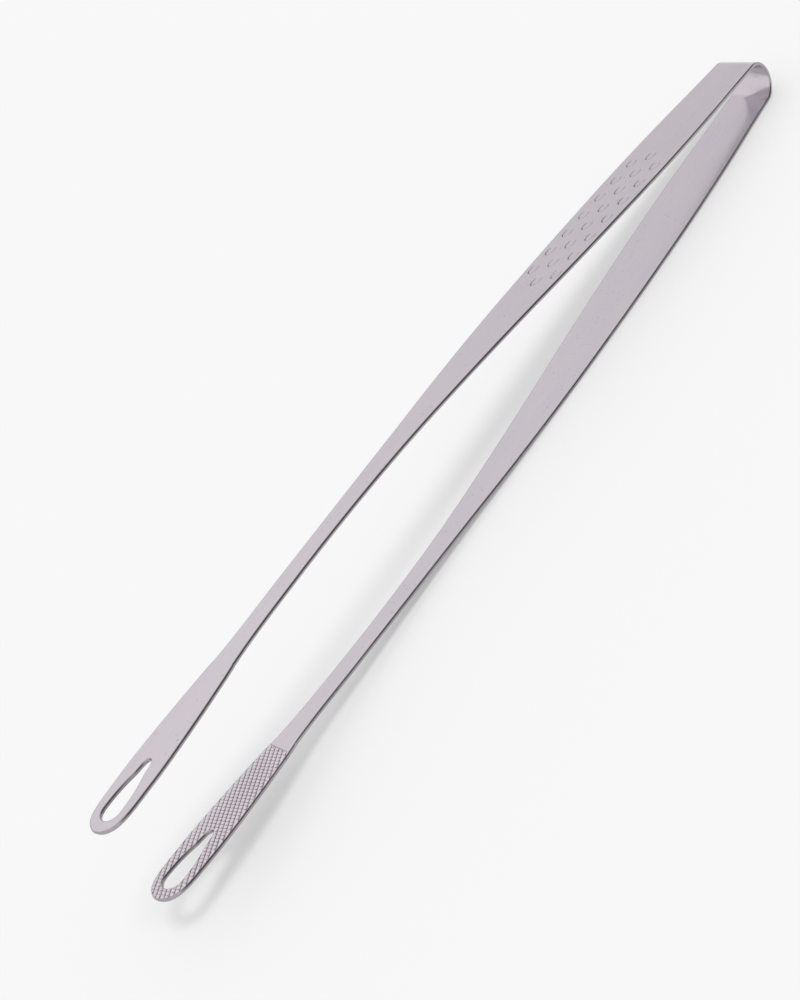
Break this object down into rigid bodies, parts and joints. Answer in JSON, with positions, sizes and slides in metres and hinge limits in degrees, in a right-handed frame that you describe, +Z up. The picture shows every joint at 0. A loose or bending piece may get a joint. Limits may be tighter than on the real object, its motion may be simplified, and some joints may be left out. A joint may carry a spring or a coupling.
{
  "type": "print tongs",
  "caption": "Hairpin tongs folded from one strip of stainless sheet, with dimpled finger grips, narrow necks and knurled paddle jaws with teardrop eyes.",
  "frame": {"origin": "middle of the footprint, on the surface that the tongs lie on", "axes": "+X from the folded bow to the jaws, +Y across the strip, +Z up from the surface; the lower blade's outer face lies flat at z 0"},
  "size_m": [0.2395, 0.0148, 0.0283],
  "materials": {
    "satin_steel": "satin stainless sheet, finely brushed along the arms, with polished edges",
    "knurled_steel": "the same sheet, knurled on the inner face of the jaws"
  },
  "bodies": {
    "lower_arm": {"lower_grip": "satin_steel", "lower_shank": "satin_steel", "lower_jaw": "knurled_steel"},
    "bow": {"spring_bow": "satin_steel"},
    "upper_arm": {"upper_grip": "satin_steel", "upper_shank": "satin_steel", "upper_jaw": "knurled_steel"}
  },
  "joints": [
    {"name": "lower_blade_flex", "type": "hinge", "parent": "lower_arm", "child": "bow", "pos_m": [-0.09792, 0, 0.0008], "axis": [0, 1, 0], "range_deg": [0, 2.3], "stiffness_Nm_per_rad": 1.5, "springref_deg": -0.4},
    {"name": "upper_blade_flex", "type": "hinge", "parent": "bow", "child": "upper_arm", "pos_m": [-0.09852, 0, 0.01086], "axis": [0, 1, 0], "range_deg": [0, 2.3], "stiffness_Nm_per_rad": 1.5, "springref_deg": -0.4}
  ],
  "couplings": [
    {"joint": "lower_blade_flex", "follows": "upper_blade_flex", "ratio": 1}
  ]
}
